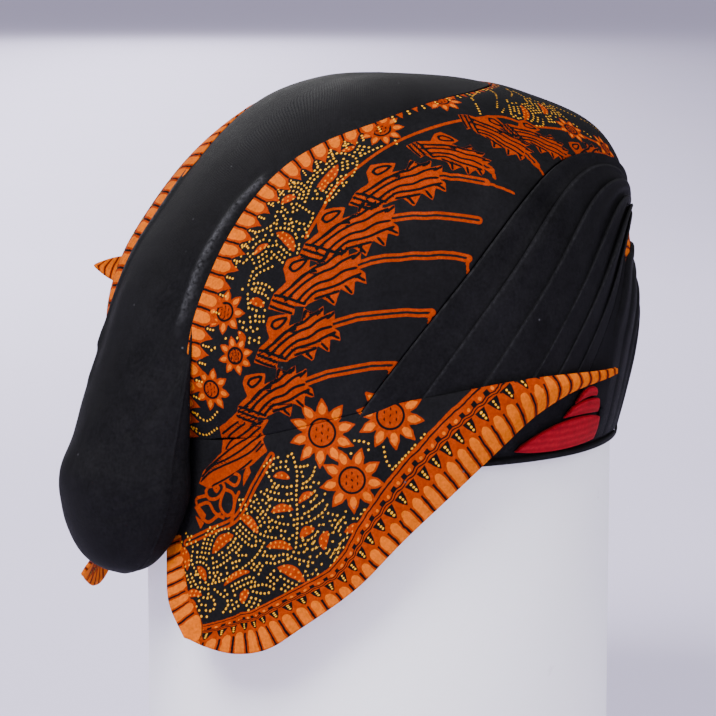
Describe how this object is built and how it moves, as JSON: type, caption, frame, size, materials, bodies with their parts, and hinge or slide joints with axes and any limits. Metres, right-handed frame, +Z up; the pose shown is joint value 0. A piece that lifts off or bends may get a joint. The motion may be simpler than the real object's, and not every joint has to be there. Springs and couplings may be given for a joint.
{
  "type": "blangkon on a display cylinder",
  "caption": "Javanese folded batik headcloth with a padded bulb at the back, pleated front and hanging side flaps, on a plain white display cylinder.",
  "frame": {"origin": "on the floor under the cylinder's foot, at the middle of the object's box", "axes": "+Z up, -Y the way the wearer looks, +X the wearer's left"},
  "size_m": [0.2066, 0.2266, 0.2889],
  "materials": {
    "white_cylinder": "smooth satin white",
    "black_cloth": "plain woven black cotton, slightly glossy where stretched",
    "batik_cloth": "black cotton with batik print in rust, orange and pale yellow",
    "batik_edge": "printed orange cloth border",
    "red_lining": "matt red cotton"
  },
  "bodies": {
    "root": {"display_tube": "white_cylinder", "crown": "black_cloth", "rim_hem": "black_cloth", "mondolan": "black_cloth", "right_panel": "batik_cloth", "left_panel": "batik_cloth", "right_front_pleats": "black_cloth", "left_front_pleats": "black_cloth", "right_batik_strip": "batik_edge", "left_batik_strip": "batik_edge", "right_brow_wrap": "black_cloth", "left_brow_wrap": "black_cloth", "right_flap": "batik_cloth", "left_flap": "batik_cloth", "right_red_fold_1": "red_lining", "left_red_fold_1": "red_lining", "right_red_fold_2": "red_lining", "left_red_fold_2": "red_lining", "right_red_fold_3": "red_lining", "left_red_fold_3": "red_lining", "left_corner_tip": "batik_edge"}
  },
  "joints": []
}
